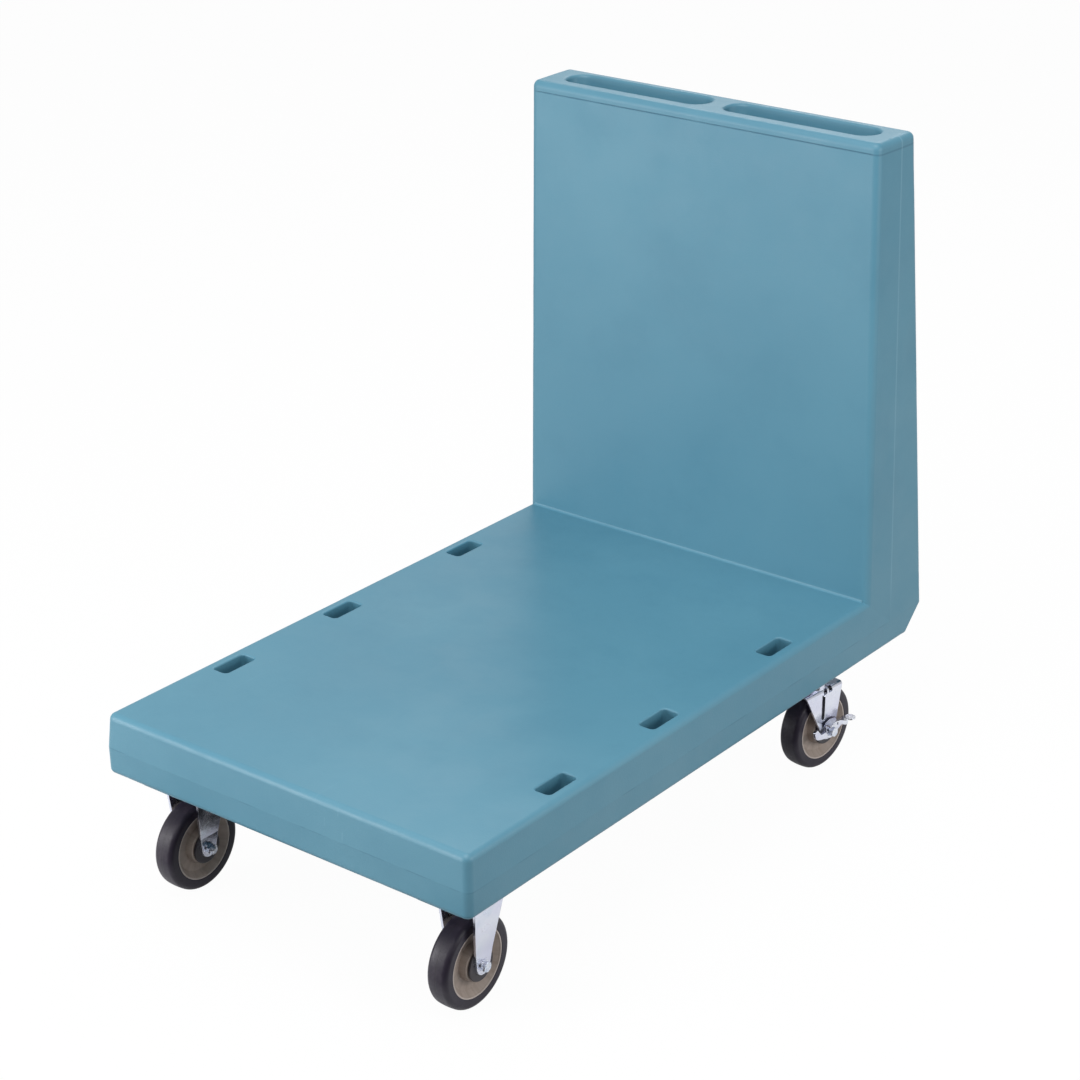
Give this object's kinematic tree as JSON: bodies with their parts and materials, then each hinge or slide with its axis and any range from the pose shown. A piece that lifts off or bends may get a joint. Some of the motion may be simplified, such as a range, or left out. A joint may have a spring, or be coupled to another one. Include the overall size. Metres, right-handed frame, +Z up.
{
  "type": "platform cart",
  "caption": "Moulded platform cart: deck and push upright in one hollow shell, on rigid front and braked swivel rear casters.",
  "frame": {"origin": "on the floor under the middle of the moulding's outline", "axes": "+X to the right seen from the deck's open end, +Y along the deck towards the push upright, +Z up"},
  "size_m": [0.609, 1.0438, 0.9305],
  "materials": {
    "moulded_body": "fine matt rotomoulded polyethylene",
    "tread_rubber": "satin dark grey rubber",
    "wheel_plastic": "moulded taupe polypropylene",
    "guard_plastic": "moulded dark plastic",
    "cage_plastic": "moulded nylon",
    "bearing_steel": "ground bearing steel",
    "insert_steel": "knurled zinc-plated steel",
    "brake_zinc": "bright zinc-plated stamping",
    "fastener_zinc": "bright zinc-plated hardware",
    "caster_zinc": "bright zinc-plated pressing",
    "sleeve_steel": "ground steel tube"
  },
  "bodies": {
    "platform": {"mounting_bolts": "fastener_zinc", "platform_moulding": "moulded_body", "spring_washers": "fastener_zinc", "threaded_inserts": "insert_steel", "front_right_axle_bolt": "fastener_zinc", "front_right_axle_nut": "fastener_zinc", "front_right_axle_sleeve": "sleeve_steel", "front_right_axle_washers": "fastener_zinc", "front_right_rigid_fork": "caster_zinc", "front_right_thread_guards": "guard_plastic", "rear_right_kingpin": "caster_zinc", "rear_right_kingpin_balls": "bearing_steel", "rear_right_swivel_balls": "bearing_steel", "rear_right_swivel_top_plate": "caster_zinc", "front_left_axle_bolt": "fastener_zinc", "front_left_axle_nut": "fastener_zinc", "front_left_axle_sleeve": "sleeve_steel", "front_left_axle_washers": "fastener_zinc", "front_left_rigid_fork": "caster_zinc", "front_left_thread_guards": "guard_plastic", "rear_left_kingpin": "caster_zinc", "rear_left_kingpin_balls": "bearing_steel", "rear_left_swivel_balls": "bearing_steel", "rear_left_swivel_top_plate": "caster_zinc"},
    "front_right_wheel": {"front_right_bearing_cage": "cage_plastic", "front_right_bearing_rollers": "bearing_steel", "front_right_tread": "tread_rubber", "front_right_wheel_core": "wheel_plastic"},
    "rear_right_wheel": {"rear_right_bearing_cage": "cage_plastic", "rear_right_bearing_rollers": "bearing_steel", "rear_right_tread": "tread_rubber", "rear_right_wheel_core": "wheel_plastic"},
    "rear_right_lever": {"rear_right_brake_lever": "brake_zinc"},
    "rear_right_caster": {"rear_right_swivel_fork": "caster_zinc", "rear_right_brake_cam": "brake_zinc", "rear_right_axle_bolt": "fastener_zinc", "rear_right_axle_washers": "fastener_zinc", "rear_right_axle_nut": "fastener_zinc", "rear_right_axle_sleeve": "sleeve_steel", "rear_right_thread_guards": "guard_plastic"},
    "front_left_wheel": {"front_left_bearing_cage": "cage_plastic", "front_left_bearing_rollers": "bearing_steel", "front_left_tread": "tread_rubber", "front_left_wheel_core": "wheel_plastic"},
    "rear_left_wheel": {"rear_left_bearing_cage": "cage_plastic", "rear_left_bearing_rollers": "bearing_steel", "rear_left_tread": "tread_rubber", "rear_left_wheel_core": "wheel_plastic"},
    "rear_left_lever": {"rear_left_brake_lever": "brake_zinc"},
    "rear_left_caster": {"rear_left_swivel_fork": "caster_zinc", "rear_left_brake_cam": "brake_zinc", "rear_left_axle_bolt": "fastener_zinc", "rear_left_axle_washers": "fastener_zinc", "rear_left_axle_nut": "fastener_zinc", "rear_left_axle_sleeve": "sleeve_steel", "rear_left_thread_guards": "guard_plastic"}
  },
  "joints": [
    {"name": "front_right_wheel_spin", "type": "hinge", "parent": "platform", "child": "front_right_wheel", "pos_m": [0.2335, -0.439, 0.0635], "axis": [1, 0, 0], "continuous": true},
    {"name": "rear_right_swivel", "type": "hinge", "parent": "platform", "child": "rear_right_caster", "pos_m": [0.2335, 0.3388, 0.1525], "axis": [0, 0, 1], "continuous": true},
    {"name": "rear_right_wheel_spin", "type": "hinge", "parent": "rear_right_caster", "child": "rear_right_wheel", "pos_m": [0.23517, 0.35371, 0.0635], "axis": [0.9938, -0.1115, 0], "continuous": true},
    {"name": "rear_right_brake", "type": "hinge", "parent": "rear_right_caster", "child": "rear_right_lever", "pos_m": [0.23517, 0.35371, 0.0635], "axis": [-0.9938, 0.1115, 0], "range_deg": [0, 28]},
    {"name": "front_left_wheel_spin", "type": "hinge", "parent": "platform", "child": "front_left_wheel", "pos_m": [-0.2335, -0.439, 0.0635], "axis": [1, 0, 0], "continuous": true},
    {"name": "rear_left_swivel", "type": "hinge", "parent": "platform", "child": "rear_left_caster", "pos_m": [-0.2335, 0.3388, 0.1525], "axis": [0, 0, 1], "continuous": true},
    {"name": "rear_left_wheel_spin", "type": "hinge", "parent": "rear_left_caster", "child": "rear_left_wheel", "pos_m": [-0.23183, 0.35371, 0.0635], "axis": [0.9938, -0.1115, 0], "continuous": true},
    {"name": "rear_left_brake", "type": "hinge", "parent": "rear_left_caster", "child": "rear_left_lever", "pos_m": [-0.23183, 0.35371, 0.0635], "axis": [-0.9938, 0.1115, 0], "range_deg": [0, 28]}
  ]
}
